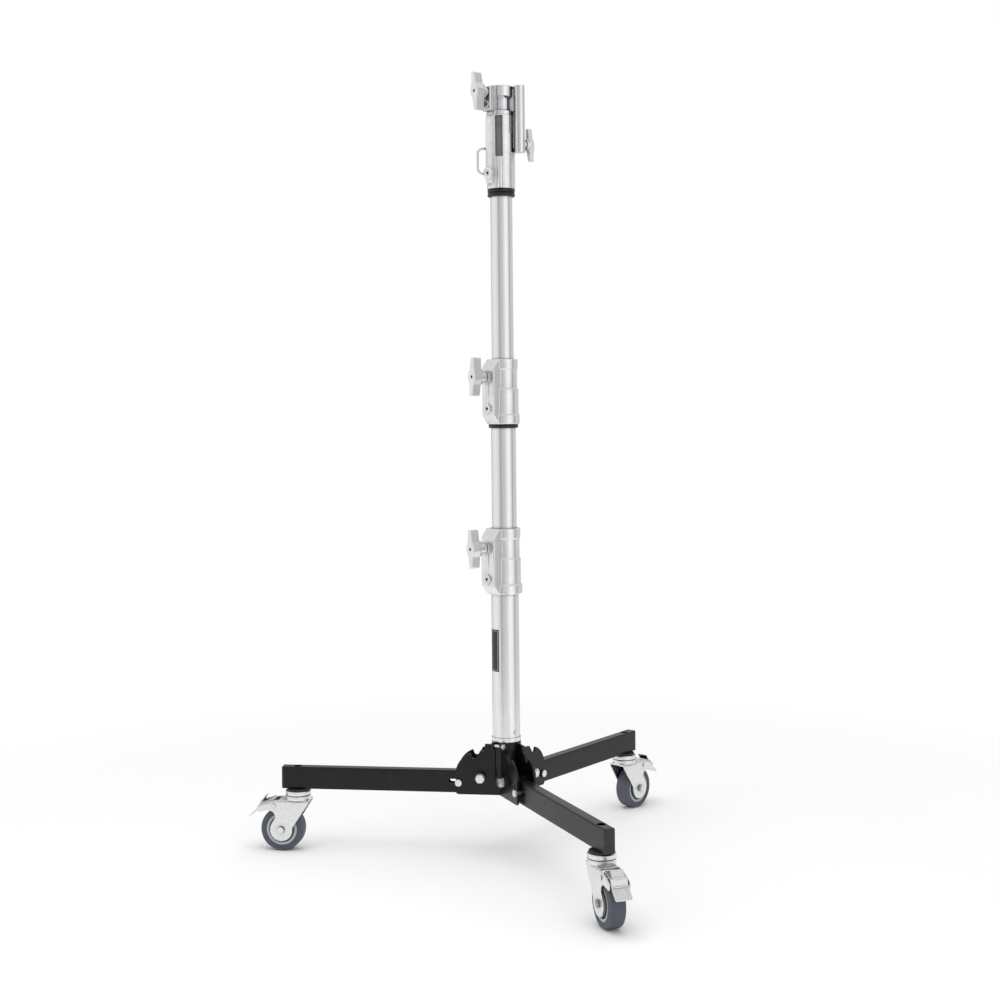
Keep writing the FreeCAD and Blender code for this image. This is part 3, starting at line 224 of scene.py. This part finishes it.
def zinc_plate():
    """Bright zinc on pressed steel: cloudy, faintly warm and cool, brighter on the edges, partly worn and partly a
    painted highlight, with painted shade in its recesses.
    """
    look = Finish("zinc_plate")
    edge_wear_and_highlight = look.rounded_edges(0.0008)
    cloud = look.noise(70.0, 5.0, roughness=0.65)
    grain = look.noise(1300.0, 2.0, (1.0, 1.0, 0.3))
    look.bump(cloud, 0.0002, 0.2)
    look.bump(grain, 0.00003, 0.4)
    tint = look.mix(look.remap(cloud, 0.35, 0.65, 0.0, 1.0), (0.74, 0.745, 0.755), (0.80, 0.80, 0.79))
    # Edges painted brighter: partly worn plating, partly a painted highlight.
    tint = look.mix(edge_wear_and_highlight, tint, (0.93, 0.93, 0.93))
    # Painted shade: the colour turns dark in corners and recesses.
    tint = look.mix(look.painted_hollow_shade(0.012), tint, (0.10, 0.10, 0.11))
    return look.finish(tint, look.remap(cloud, 0.3, 0.7, 0.22, 0.36), 1.0)


def black_coat():
    """Powder coat: orange-peel skin, tiny speckle, and greyer edges, partly worn and partly a painted highlight.
    """
    look = Finish("black_coat")
    edge_wear_and_highlight = look.rounded_edges(0.0012)
    peel = look.noise(900.0, 2.0)
    speckle = look.noise(2600.0, 2.0)
    dust = look.noise(30.0, 5.0, roughness=0.7)
    look.bump(peel, 0.00012, 0.5)
    look.bump(speckle, 0.00003, 0.4)
    tint = look.mix(look.remap(dust, 0.45, 0.8, 0.0, 1.0), (0.004, 0.004, 0.005), (0.009, 0.009, 0.010))
    # Edges painted grey: partly worn coat, partly a painted highlight.
    tint = look.mix(look.combine("MULTIPLY", edge_wear_and_highlight, 0.4), tint, (0.14, 0.14, 0.145))
    return look.finish(tint, look.remap(peel, 0.3, 0.7, 0.26, 0.36), extras={"Specular IOR Level": 0.32})


def moulded_plastic(name, dark, light, rough):
    """Moulded plastic: fine spark-eroded grain, slight clouding, and lighter edges, partly worn and partly a
    painted highlight.
    """
    look = Finish(name)
    edge_wear_and_highlight = look.rounded_edges(0.0007)
    grain = look.noise(1900.0, 3.0)
    cloud = look.noise(60.0, 4.0)
    look.bump(grain, 0.00005, 0.5)
    tint = look.mix(look.remap(cloud, 0.35, 0.7, 0.0, 1.0), dark, light)
    # Edges painted lighter: partly worn plastic, partly a painted highlight.
    tint = look.mix(look.combine("MULTIPLY", edge_wear_and_highlight, 0.3), tint, tuple(min(1.0, c * 1.6 + 0.02) for c in light))
    return look.finish(tint, look.remap(grain, 0.3, 0.7, rough - 0.06, rough + 0.06))


def rubber(name, dark, light, rough, gloss):
    """Rubber: dull, slightly dusty, with a soft pebbled skin."""
    look = Finish(name)
    look.rounded_edges(0.0008)
    skin = look.noise(1100.0, 4.0, roughness=0.7)
    dust = look.noise(55.0, 5.0, roughness=0.7)
    look.bump(skin, 0.00008, 0.6)
    tint = look.mix(look.remap(dust, 0.38, 0.72, 0.0, 1.0), dark, light)
    rough_skin = look.remap(skin, 0.3, 0.7, rough - 0.07, rough + 0.05)
    return look.finish(tint, rough_skin, extras={"Specular IOR Level": gloss})


def make_materials():
    """Every finish by its short name. The record's material slots use these names too."""
    return {
        "chrome": satin_chrome(),
        "bright": bright_chrome(),
        "cast": cast_metal(),
        "zinc": zinc_plate(),
        "black_coat": black_coat(),
        "black_plastic": moulded_plastic("black_plastic", (0.012, 0.012, 0.013), (0.020, 0.020, 0.021), 0.42),
        "grey_plastic": moulded_plastic("grey_plastic", (0.13, 0.13, 0.135), (0.18, 0.18, 0.185), 0.45),
        "rim": moulded_plastic("rim_plastic", (0.38, 0.43, 0.44), (0.44, 0.49, 0.50), 0.38),
        "label": moulded_plastic("label_film", (0.012, 0.012, 0.013), (0.018, 0.018, 0.019), 0.30),
        "label_edge": moulded_plastic("label_edge", (0.55, 0.55, 0.55), (0.62, 0.62, 0.62), 0.35),
        "rubber": rubber("black_rubber", (0.004, 0.004, 0.004), (0.010, 0.010, 0.010), 0.38, 0.5),
        "tread": rubber("tread_rubber", (0.080, 0.087, 0.108), (0.105, 0.112, 0.135), 0.55, 0.3),
    }


materials = make_materials()
SLOT_OF = {part["node"]: part["material_slot"] for part in frame["record"]["subparts"]}
POLISHED = ("junior_receiver", "side_socket")  # plated brighter than the tubes, which share their slot


def paint_frame():
    """Give every carried-over CAD node its finish."""
    for name, obj in nodes.items():
        obj.data.materials.clear()
        obj.data.materials.append(materials["bright" if name in POLISHED else SLOT_OF[name]])


paint_frame()


# --- Edges and cast skins on the CAD pieces ---------------------------------------------------------
SHARP_ANGLE, BREAK_ANGLE = math.radians(32), math.radians(40)
EDGE_BREAK = 0.0004
CAST_VOXEL, CAST_ROUNDS = 0.0005, 5
PRESSED_VOXEL, PRESSED_ROUNDS = 0.00045, 3
KNOBS = ("base_knob", "middle_knob", "head_knob", "side_knob")
CASTINGS = ("base_collar", "middle_collar", "head_casting") + KNOBS
PRESSINGS = tuple(kind + "_" + leg for kind in ("fork", "brake_pedal") for leg in LEGS)
HARDWARE = ("pivot_bolts", "pivot_spacers", "base_screws", "middle_set_screw", "head_screws") + tuple(
    kind + "_" + leg for kind in ("axle", "end_cap", "hub_ears", "leg_tube") for leg in LEGS
)


def smooth(mesh):
    """Smooth shading that keeps sharp edges crisp."""
    mesh.polygons.foreach_set("use_smooth", [True] * len(mesh.polygons))
    mesh.set_sharp_from_angle(angle=SHARP_ANGLE)


def cast_skin(obj, voxel, rounds):
    """Round every edge a little, as casting and tumbling do."""
    remesh = obj.modifiers.new("skin", "REMESH")
    remesh.mode = "VOXEL"
    remesh.voxel_size = voxel
    remesh.use_smooth_shade = True
    ease = obj.modifiers.new("ease", "SMOOTH")
    ease.factor = 0.5
    ease.iterations = rounds


def soft_edges(obj, width):
    """Small rounded break on every sharp edge."""
    bevel = obj.modifiers.new("edges", "BEVEL")
    bevel.width = width
    bevel.segments = 2
    bevel.limit_method = "ANGLE"
    bevel.angle_limit = BREAK_ANGLE
    bevel.harden_normals = True


def finish_frame():
    """Round the castings, pressings and hardware, and shade the rest smoothly."""
    for name, obj in nodes.items():
        if name in CASTINGS:
            cast_skin(obj, CAST_VOXEL, CAST_ROUNDS)
        elif name in PRESSINGS:
            cast_skin(obj, PRESSED_VOXEL, PRESSED_ROUNDS)
        else:
            smooth(obj.data)
            if name in HARDWARE:
                soft_edges(obj, EDGE_BREAK)


finish_frame()


# --- Extra pieces ---------------------------------------------------------------------------------
def add_piece(name, bm, material, body, matrix=None):
    """Turn a bmesh into a named piece, placed by a matrix and riding on a body."""
    if matrix is not None:
        bmesh.ops.transform(bm, matrix=matrix, verts=bm.verts)
    bmesh.ops.recalc_face_normals(bm, faces=bm.faces)
    mesh = bpy.data.meshes.new(name)
    bm.to_mesh(mesh)
    bm.free()
    smooth(mesh)
    mesh.materials.append(materials[material])
    obj = bpy.data.objects.new(name, mesh)
    bpy.context.scene.collection.objects.link(obj)
    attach(obj, body)


def join_into(target, part, matrix):
    """Add a placed copy of one bmesh to another and free the first."""
    bmesh.ops.transform(part, matrix=matrix, verts=part.verts)
    loose = bpy.data.meshes.new("loose")
    part.to_mesh(loose)
    part.free()
    target.from_mesh(loose)
    bpy.data.meshes.remove(loose)


def joint_place(name, reverse=False):
    """Matrix of a level hinge: its place, with its axis, reversed or not, as Y and up as Z."""
    joint = joints[name]
    across = Vector(joint["axis"]) * (-1 if reverse else 1)
    up = Vector((0, 0, 1))
    turn = Matrix((across.cross(up), across, up)).transposed().to_4x4()
    return Matrix.Translation(joint["pos_m"]) @ turn


def leg_turn(leg):
    """Turn that carries X outwards along a leg and Y across it."""
    return joint_place("leg_" + leg + "_fold", reverse=True).to_3x3().to_4x4()


def loop_faces(bm, rows):
    """Faces between neighbouring rows of points, where each row is a closed loop or one point."""
    count = max(len(row) for row in rows)
    for lower, upper in zip(rows, rows[1:]):
        low, high = len(lower), len(upper)
        for i in range(count):
            j = (i + 1) % count
            corners = (lower[i % low], lower[j % low], upper[j % high], upper[i % high])
            bm.faces.new(list(dict.fromkeys(corners)))


def lathe(profile, segments=48):
    """Surface of (radius, height) points turned about Z. It is closed where both ends have radius 0."""
    bm = bmesh.new()
    turns = [2 * math.pi * i / segments for i in range(segments)]
    rows = []
    for radius, height in profile:
        ring = [(radius * math.cos(t), radius * math.sin(t), height) for t in turns]
        rows.append([bm.verts.new(point) for point in (ring if radius else ring[:1])])
    loop_faces(bm, rows)
    bmesh.ops.recalc_face_normals(bm, faces=bm.faces)
    return bm


ALONG_Y = Matrix.Rotation(math.radians(-90), 4, "X")
TORUS_SIDES = 12


def torus(radius, section, height, segments=64):
    """Ring of round section about Z at a height."""
    turns = (2 * math.pi * i / TORUS_SIDES for i in range(TORUS_SIDES + 1))
    return lathe([(radius + section * math.cos(t), height + section * math.sin(t)) for t in turns], segments)


def rounded_pin(radius, half_length, dome_steps=6, segments=24):
    """Round bar along Z with domed ends."""
    turns = [math.radians(90 * i / dome_steps) for i in range(dome_steps + 1)]
    dome = [(radius * math.sin(t), radius * (1 - math.cos(t)) - half_length) for t in turns]
    return lathe(dome + [(r, -z) for r, z in reversed(dome)], segments)


# --- Lock necks -----------------------------------------------------------------------------------
EAR_THICKNESS = 0.004
EAR_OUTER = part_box("hub_ears_front")[1][0]
EAR_INNER = EAR_OUTER - EAR_THICKNESS
NECK_R = 0.98 * 0.0040  # just inside the lock pin's own radius
NECK_INNER, NECK_OUTER = EAR_INNER - 0.0003, EAR_OUTER + 0.0009


def lock_necks():
    """Short necks that join each lock pin's shank to its two heads."""
    for leg in LEGS:
        low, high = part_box("lock_pin_" + leg)
        place = Matrix.Translation((Vector(low) + Vector(high)) / 2) @ leg_turn(leg)
        necks = bmesh.new()
        for side in (1, -1):
            neck = lathe([(0, NECK_INNER), (NECK_R, NECK_INNER), (NECK_R, NECK_OUTER), (0, NECK_OUTER)], 24)
            join_into(necks, neck, Matrix.Rotation(math.radians(-90 * side), 4, "X"))
        add_piece("lock_necks_" + leg, necks, "zinc", "lock_" + leg, place)


# --- Label ----------------------------------------------------------------------------------------
LABEL_START, LABEL_END = 165.5, 218.5  # degrees round the column
LABEL_FOOT, LABEL_HEAD = 0.338, 0.414
LABEL_R, FILM_THICKNESS = 0.02505, 0.0002  # the strip's back lies 0.05 mm over the base tube
BORDER_INSET, BORDER_WIDTH = 0.0022, 0.0007


def wrapped_strip(start, end, low, high, radius, thickness, columns=24):
    """Thin plate wrapped round the column between two angles in degrees and two heights."""
    bm = bmesh.new()
    angles = [math.radians(start + (end - start) * i / columns) for i in range(columns + 1)]
    corners = ((radius, low), (radius + thickness, low), (radius + thickness, high), (radius, high))
    rows = [[bm.verts.new((r * math.cos(t), r * math.sin(t), z)) for r, z in corners] for t in angles]
    loop_faces(bm, rows)
    bm.faces.new(rows[0])
    bm.faces.new(rows[-1][::-1])
    return bm


def label():
    """Plain dark strip with a thin pale border, wrapped on the base tube."""
    strip = wrapped_strip(LABEL_START, LABEL_END, LABEL_FOOT, LABEL_HEAD, LABEL_R, FILM_THICKNESS)
    add_piece("label_strip", strip, "label", "root")
    inset, width = (math.degrees(size / LABEL_R) for size in (BORDER_INSET, BORDER_WIDTH))
    left, right = LABEL_START + inset, LABEL_END - inset
    foot, head = LABEL_FOOT + BORDER_INSET, LABEL_HEAD - BORDER_INSET
    border = bmesh.new()
    for start, end, low, high, columns in (
        (left, left + width, foot, head, 2),
        (right - width, right, foot, head, 2),
        (left, right, foot, foot + BORDER_WIDTH, 24),
        (left, right, head - BORDER_WIDTH, head, 24),
    ):
        line = wrapped_strip(start, end, low, high, LABEL_R + FILM_THICKNESS, FILM_THICKNESS / 2, columns)
        join_into(border, line, Matrix.Identity(4))
    add_piece("label_border", border, "label_edge", "root")


# --- Welds ----------------------------------------------------------------------------------------
SLEEVE_R = 0.0265
WELD_FOOT, WELD_TOP = 0.147, 0.197
BEAD_R, BEAD_STEP, BEAD_SIDES = 0.0019, 0.0011, 10
WELD_OUT, WELD_ACROSS = 0.0004, 0.0006  # how far the bead's middle stands off the sleeve and the ear


def weld_bead(start, length, phase):
    """Round bead that runs upwards from a point, with the ripples of a hand weld."""
    bm = bmesh.new()
    rings = []
    for i in range(int(length / BEAD_STEP)):
        radius = BEAD_R * (1.0 + 0.13 * math.sin(2.1 * i) + 0.05 * math.sin(5.7 * i + phase))
        turns = (2 * math.pi * k / BEAD_SIDES for k in range(BEAD_SIDES))
        ring = [(radius * math.cos(t), radius * math.sin(t), i * BEAD_STEP) for t in turns]
        rings.append([bm.verts.new(Vector(start) + Vector(point)) for point in ring])
    loop_faces(bm, rings)
    bm.faces.new(rings[0][::-1])
    bm.faces.new(rings[-1])
    return bm


def ear_welds():
    """Weld along the corner between each ear plate's outer face and the hub sleeve."""
    weld_x = math.sqrt(SLEEVE_R**2 - EAR_OUTER**2) + WELD_OUT
    for leg in LEGS:
        welds = bmesh.new()
        for side in (1, -1):
            start = (weld_x, side * (EAR_OUTER + WELD_ACROSS), WELD_FOOT)
            join_into(welds, weld_bead(start, WELD_TOP - WELD_FOOT, side), Matrix.Identity(4))
        add_piece("ear_welds_" + leg, welds, "black_coat", "root", leg_turn(leg))


# --- Pedal ribs -----------------------------------------------------------------------------------
BEND_R, TAB_R, TAB_HALF_LENGTH = 0.0017, 0.0013, 0.0065
BENDS = ((0.0268, 0.0047, 0.0100), (0.0325, -0.0069, 0.0118))  # out and up from the rivet, half length
TAB_OUT, TAB_SIDE, TAB_UP = 0.0405, 0.0095, -0.0148
TAB_TILT = Matrix.Rotation(math.radians(131), 4, "Y")


def pedal_ribs():
    """Pressed ribs along the pedal's two bends, and a short one on each side of the foot tab."""
    for leg in LEGS:
        ribs = bmesh.new()
        for out, up, half_length in BENDS:
            join_into(ribs, rounded_pin(BEND_R, half_length), Matrix.Translation((out, 0, up)) @ ALONG_Y)
        for side in (1, -1):
            place = Matrix.Translation((TAB_OUT, side * TAB_SIDE, TAB_UP))
            join_into(ribs, rounded_pin(TAB_R, TAB_HALF_LENGTH), place @ TAB_TILT)
        add_piece("pedal_ribs_" + leg, ribs, "zinc", "pedal_" + leg, joint_place("pedal_" + leg + "_press"))


# --- Race seals -----------------------------------------------------------------------------------
SEAL_R, SEAL_SECTION_R = 0.0222, 0.0010
SEAL_LIFT = 0.0002  # from the top of the lower race to the seal's middle


def race_seals():
    """Black seal between the upper and lower race of each swivel."""
    for leg in LEGS:
        place = Matrix.Translation(joints["swivel_" + leg + "_turn"]["pos_m"])
        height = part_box("fork_" + leg)[1][2] + SEAL_LIFT - place.translation.z
        seal = torus(SEAL_R, SEAL_SECTION_R, height)
        add_piece("race_seal_" + leg, seal, "black_plastic", "leg_" + leg, place)


# --- Tyres ----------------------------------------------------------------------------------------
TYRE_HALF_WIDTH, SHOULDER_R, SHOULDER_STEPS = 0.0140, 0.0045, 6
SKIN_COVER = 0.00005  # how far the skin lies over the CAD tyre
SKIN_INNER_R = 0.0291  # 0.1 mm outside the tyre's bore, so that the skin's open foot is buried in the tyre
RIB_PLACES, RIB_SECTION_R = (0.0312, 0.0338), 0.0004


def tyre_outline():
    """Half section of a tyre's outside in (radius, across) points, mirrored about the middle."""
    (_, _, ground), (_, _, top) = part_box("tyre_front")
    wall = TYRE_HALF_WIDTH + SKIN_COVER
    bend_r, bend_y = (top - ground) / 2 + SKIN_COVER - SHOULDER_R, wall - SHOULDER_R
    turns = [math.radians(90 - 90 * i / SHOULDER_STEPS) for i in range(SHOULDER_STEPS + 1)]
    half = [(SKIN_INNER_R, bend_y), (SKIN_INNER_R, wall)]
    half += [(bend_r + SHOULDER_R * math.cos(t), bend_y + SHOULDER_R * math.sin(t)) for t in turns]
    return half + [(r, -y) for r, y in reversed(half)]


def tyre_skins():
    """Each tyre's round outside, with two fine moulded ribs on both walls."""
    for leg in LEGS:
        tyre = lathe(tyre_outline(), segments=96)
        bmesh.ops.transform(tyre, matrix=ALONG_Y, verts=tyre.verts)
        for side in (1, -1):
            for radius in RIB_PLACES:
                rib = torus(radius, RIB_SECTION_R, side * (TYRE_HALF_WIDTH + SKIN_COVER))
                join_into(tyre, rib, ALONG_Y)
        add_piece("tyre_skin_" + leg, tyre, "tread", "wheel_" + leg, joint_place("wheel_" + leg + "_roll"))


lock_necks()
label()
ear_welds()
pedal_ribs()
race_seals()
tyre_skins()


# --- Stage ----------------------------------------------------------------------------------------
CAMERA_AZIMUTH = math.radians(-22.5)  # to the left of straight in front
CAMERA_DISTANCE, CAMERA_HEIGHT = 2.795, 0.829
CAMERA_LENS, CAMERA_ROLL = 55.2, math.radians(0.55)
CAMERA_SHIFT = (-0.0032, -0.0995)
STAND_MIDDLE = Vector((0.0, 0.0, 0.7))


def make_camera():
    """Camera that looks level at the column, framed by its shift."""
    camera = bpy.data.objects.new("camera", bpy.data.cameras.new("camera"))
    bpy.context.scene.collection.objects.link(camera)
    camera.location = (
        CAMERA_DISTANCE * math.sin(CAMERA_AZIMUTH),
        -CAMERA_DISTANCE * math.cos(CAMERA_AZIMUTH),
        CAMERA_HEIGHT,
    )
    level = Matrix.Rotation(CAMERA_AZIMUTH, 3, "Z") @ Matrix.Rotation(math.radians(90), 3, "X")
    camera.rotation_euler = (level @ Matrix.Rotation(-CAMERA_ROLL, 3, "Z")).to_euler()
    camera.data.lens = CAMERA_LENS
    camera.data.shift_x, camera.data.shift_y = CAMERA_SHIFT
    bpy.context.scene.camera = camera


WHITE = (1.0, 1.0, 1.0, 1.0)
FLOOR_HALF = 14.0
FLOOR_FADE = (0.75, 1.55)  # distance from the column over which the floor turns plain white


def make_floor():
    """Large pale floor. Far away it is plain white to the camera and unseen by everything else."""
    mesh = bpy.data.meshes.new("floor")
    corners = [(x * FLOOR_HALF, y * FLOOR_HALF, 0) for x, y in ((-1, -1), (1, -1), (1, 1), (-1, 1))]
    mesh.from_pydata(corners, [], [(0, 1, 2, 3)])
    floor = bpy.data.objects.new("floor", mesh)
    bpy.context.scene.collection.objects.link(floor)
    look = Finish("floor_paint")
    tint = look.mix(look.noise(1.5, 3.0), (0.93, 0.93, 0.93), (0.95, 0.95, 0.95))
    mesh.materials.append(look.finish(tint, 0.8, extras={"Specular IOR Level": 0.1}))
    distance = look.node("ShaderNodeVectorMath", operation="LENGTH")
    look.link(look.coords, distance.inputs[0])
    fade = look.remap(distance.outputs["Value"], *FLOOR_FADE, 0.0, 1.0)
    by_camera = look.node("ShaderNodeLightPath").outputs["Is Camera Ray"]
    far = look.blend(by_camera, look.node("ShaderNodeBsdfTransparent"), look.node("ShaderNodeEmission"))
    surface = look.blend(fade, look.shader, far)
    look.link(surface.outputs[0], look.tree.nodes["Material Output"].inputs["Surface"])


STUDIO_STOPS = (  # (direction round the studio, level): soft lights, grey cards and narrow black flags
    (0.0, 0.86), (0.05, 0.78), (0.085, 0.60), (0.105, 0.10), (0.125, 0.60), (0.19, 0.60), (0.25, 0.80),
    (0.30, 1.15), (0.36, 0.95), (0.40, 0.75), (0.425, 0.08), (0.45, 0.70), (0.54, 0.67), (0.70, 0.70),
    (0.74, 0.15), (0.78, 0.72), (0.90, 0.88), (0.98, 0.95), (1.0, 0.86),
)
CEILING_LEVEL = 0.78
WALL_TOP, CEILING_EDGE = 0.30, 0.75  # heights of a direction between which walls fade into ceiling


def make_world():
    """White to the camera. Reflections see a bright studio with grey cards and flags round it."""
    world = bpy.data.worlds.new("studio")
    bpy.context.scene.world = world
    world.use_nodes = True
    tree = world.node_tree
    tree.nodes.clear()

    def node(kind, **inputs):
        """Add a node and set its inputs, with an underscore for each space in a name."""
        made = tree.nodes.new(kind)
        for key, value in inputs.items():
            made.inputs[key.replace("_", " ")].default_value = value
        return made

    coords = node("ShaderNodeTexCoord")
    split = node("ShaderNodeSeparateXYZ")
    tree.links.new(coords.outputs["Generated"], split.inputs[0])
    azimuth = node("ShaderNodeMath")
    azimuth.operation = "ARCTAN2"
    tree.links.new(split.outputs["Y"], azimuth.inputs[0])
    tree.links.new(split.outputs["X"], azimuth.inputs[1])
    turn = node("ShaderNodeMapRange", From_Min=-math.pi, From_Max=math.pi)
    tree.links.new(azimuth.outputs[0], turn.inputs["Value"])
    ramp = node("ShaderNodeValToRGB")
    tree.links.new(turn.outputs["Result"], ramp.inputs["Fac"])
    elements = ramp.color_ramp.elements
    elements[0].position, elements[1].position = 0.0, 1.0
    for position, _ in STUDIO_STOPS[1:-1]:
        elements.new(position)
    for element, (_, level) in zip(sorted(elements, key=lambda e: e.position), STUDIO_STOPS):
        element.color = (level, level, level, 1.0)
    height = node("ShaderNodeMapRange", From_Min=WALL_TOP, From_Max=CEILING_EDGE)
    tree.links.new(split.outputs["Z"], height.inputs["Value"])
    walls, ceiling = node("ShaderNodeBackground"), node("ShaderNodeBackground", Strength=CEILING_LEVEL)
    tree.links.new(ramp.outputs["Color"], walls.inputs["Color"])
    ceiling.inputs["Color"].default_value = WHITE
    seen = node("ShaderNodeBackground")
    seen.inputs["Color"].default_value = WHITE
    path = node("ShaderNodeLightPath")
    room, final = node("ShaderNodeMixShader"), node("ShaderNodeMixShader")
    tree.links.new(height.outputs["Result"], room.inputs["Fac"])
    tree.links.new(walls.outputs[0], room.inputs[1])
    tree.links.new(ceiling.outputs[0], room.inputs[2])
    tree.links.new(path.outputs["Is Camera Ray"], final.inputs["Fac"])
    tree.links.new(room.outputs[0], final.inputs[1])
    tree.links.new(seen.outputs[0], final.inputs[2])
    tree.links.new(final.outputs[0], node("ShaderNodeOutputWorld").inputs["Surface"])


def area_light(name, place, size, power):
    """Soft light of a given power, aimed at the stand's middle and unseen in reflections."""
    data = bpy.data.lights.new(name, "AREA")
    data.shape = "RECTANGLE"
    data.size, data.size_y = size
    data.energy = power
    light = bpy.data.objects.new(name, data)
    bpy.context.scene.collection.objects.link(light)
    light.location = place
    light.rotation_euler = (Vector(place) - STAND_MIDDLE).to_track_quat("Z", "Y").to_euler()
    light.visible_glossy = False


SOFTBOXES = (  # name, place, width and height, watts
    ("top_softbox", (-0.4, -0.5, 3.4), (2.6, 2.6), 44.0),
    ("left_softbox", (-2.8, -1.0, 1.6), (1.2, 2.4), 6.0),
    ("right_softbox", (2.2, -2.2, 1.4), (1.0, 2.2), 3.0),
)


make_camera()
make_floor()
make_world()
for softbox in SOFTBOXES:
    area_light(*softbox)
bpy.context.scene.view_settings.view_transform = "Standard"
